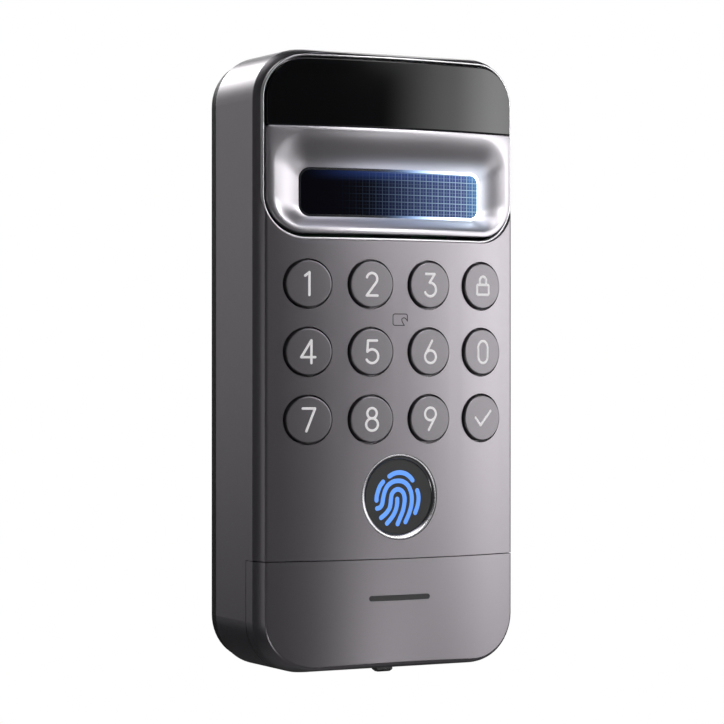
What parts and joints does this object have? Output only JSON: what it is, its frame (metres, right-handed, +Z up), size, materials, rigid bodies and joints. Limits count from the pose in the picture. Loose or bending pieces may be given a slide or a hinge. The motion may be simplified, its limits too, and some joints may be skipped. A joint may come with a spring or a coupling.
{
  "type": "keypad smart lock",
  "caption": "Wall-mounted smart lock keypad with push keys, face-sensor panel, card reader, fingerprint reader and a slide-down battery cover on a hook-on wall plate.",
  "frame": {"origin": "centre of the wall plate's rear face, on the wall", "axes": "+Z up, the keypad's face looks along -Y, the wall lies in Y = 0"},
  "size_m": [0.0652, 0.0322, 0.1395],
  "materials": {
    "grey_shell": "satin metallic grey paint",
    "key_cap": "satin dark grey",
    "plate": "matt black moulded",
    "pad": "grey foam tape",
    "seal": "soft silicone",
    "steel": "bright zinc or nickel",
    "trim": "satin bright trim",
    "bezel": "satin silver",
    "black_glass": "glossy black",
    "light_guide": "frosted clear, lit blue white",
    "inner_plastic": "black moulded",
    "board": "green solder mask",
    "chips": "black epoxy",
    "copper": "copper track",
    "ribbon": "amber film",
    "battery": "matt wrapped cell",
    "sensor_disc": "black coated ceramic with a lit mark",
    "dark_bar": "smoked plastic"
  },
  "bodies": {
    "wall_plate": {"wall_plate": "plate", "adhesive_pad": "pad"},
    "housing": {"battery_contacts": "steel", "battery_pack": "battery", "bay_seal": "seal", "board_chips": "chips", "board_ribbon": "ribbon", "board_screws": "steel", "camera_board": "board", "card_antenna": "copper", "dish_bezel": "bezel", "display_panel": "inner_plastic", "display_trim": "trim", "dot_projector": "chips", "fingerprint_board": "board", "fingerprint_ring": "trim", "fingerprint_sensor": "sensor_disc", "flood_illuminator": "chips", "front_cover": "grey_shell", "front_seal": "seal", "glass_panel": "black_glass", "housing_screws": "steel", "infrared_camera": "chips", "key_mat": "seal", "key_switches": "steel", "keypad_board": "board", "light_board": "board", "light_guide": "light_guide", "main_board": "board", "proximity_sensor": "chips", "rear_housing": "grey_shell", "sensor_bracket": "inner_plastic", "speaker": "inner_plastic", "usb_board": "board", "usb_socket": "steel", "window_lens": "black_glass"},
    "bottom_cover": {"bottom_cover": "grey_shell", "indicator_bar": "dark_bar", "tab_spring": "steel"},
    "release_tab": {"release_tab": "dark_bar"},
    "key_1": {"key_1": "key_cap"},
    "key_2": {"key_2": "key_cap"},
    "key_3": {"key_3": "key_cap"},
    "key_lock": {"key_lock": "key_cap"},
    "key_4": {"key_4": "key_cap"},
    "key_5": {"key_5": "key_cap"},
    "key_6": {"key_6": "key_cap"},
    "key_0": {"key_0": "key_cap"},
    "key_7": {"key_7": "key_cap"},
    "key_8": {"key_8": "key_cap"},
    "key_9": {"key_9": "key_cap"},
    "key_enter": {"key_enter": "key_cap"}
  },
  "joints": [
    {"name": "lift_off", "type": "slide", "parent": "wall_plate", "child": "housing", "axis": [0, 0, 1], "range_m": [0, 0.0034]},
    {"name": "cover_slide", "type": "slide", "parent": "housing", "child": "bottom_cover", "axis": [0, 0, -1], "range_m": [0, 0.012]},
    {"name": "release_press", "type": "slide", "parent": "bottom_cover", "child": "release_tab", "axis": [0, 0, 1], "range_m": [0, 0.0007], "stiffness_N_per_m": 600, "springref_m": -0.0005, "deforming": ["tab_spring"]},
    {"name": "press_1", "type": "slide", "parent": "housing", "child": "key_1", "axis": [0, 1, 0], "range_m": [0, 0.0005], "stiffness_N_per_m": 2000, "springref_m": -0.0003},
    {"name": "press_2", "type": "slide", "parent": "housing", "child": "key_2", "axis": [0, 1, 0], "range_m": [0, 0.0005], "stiffness_N_per_m": 2000, "springref_m": -0.0003},
    {"name": "press_3", "type": "slide", "parent": "housing", "child": "key_3", "axis": [0, 1, 0], "range_m": [0, 0.0005], "stiffness_N_per_m": 2000, "springref_m": -0.0003},
    {"name": "press_lock", "type": "slide", "parent": "housing", "child": "key_lock", "axis": [0, 1, 0], "range_m": [0, 0.0005], "stiffness_N_per_m": 2000, "springref_m": -0.0003},
    {"name": "press_4", "type": "slide", "parent": "housing", "child": "key_4", "axis": [0, 1, 0], "range_m": [0, 0.0005], "stiffness_N_per_m": 2000, "springref_m": -0.0003},
    {"name": "press_5", "type": "slide", "parent": "housing", "child": "key_5", "axis": [0, 1, 0], "range_m": [0, 0.0005], "stiffness_N_per_m": 2000, "springref_m": -0.0003},
    {"name": "press_6", "type": "slide", "parent": "housing", "child": "key_6", "axis": [0, 1, 0], "range_m": [0, 0.0005], "stiffness_N_per_m": 2000, "springref_m": -0.0003},
    {"name": "press_0", "type": "slide", "parent": "housing", "child": "key_0", "axis": [0, 1, 0], "range_m": [0, 0.0005], "stiffness_N_per_m": 2000, "springref_m": -0.0003},
    {"name": "press_7", "type": "slide", "parent": "housing", "child": "key_7", "axis": [0, 1, 0], "range_m": [0, 0.0005], "stiffness_N_per_m": 2000, "springref_m": -0.0003},
    {"name": "press_8", "type": "slide", "parent": "housing", "child": "key_8", "axis": [0, 1, 0], "range_m": [0, 0.0005], "stiffness_N_per_m": 2000, "springref_m": -0.0003},
    {"name": "press_9", "type": "slide", "parent": "housing", "child": "key_9", "axis": [0, 1, 0], "range_m": [0, 0.0005], "stiffness_N_per_m": 2000, "springref_m": -0.0003},
    {"name": "press_enter", "type": "slide", "parent": "housing", "child": "key_enter", "axis": [0, 1, 0], "range_m": [0, 0.0005], "stiffness_N_per_m": 2000, "springref_m": -0.0003}
  ]
}
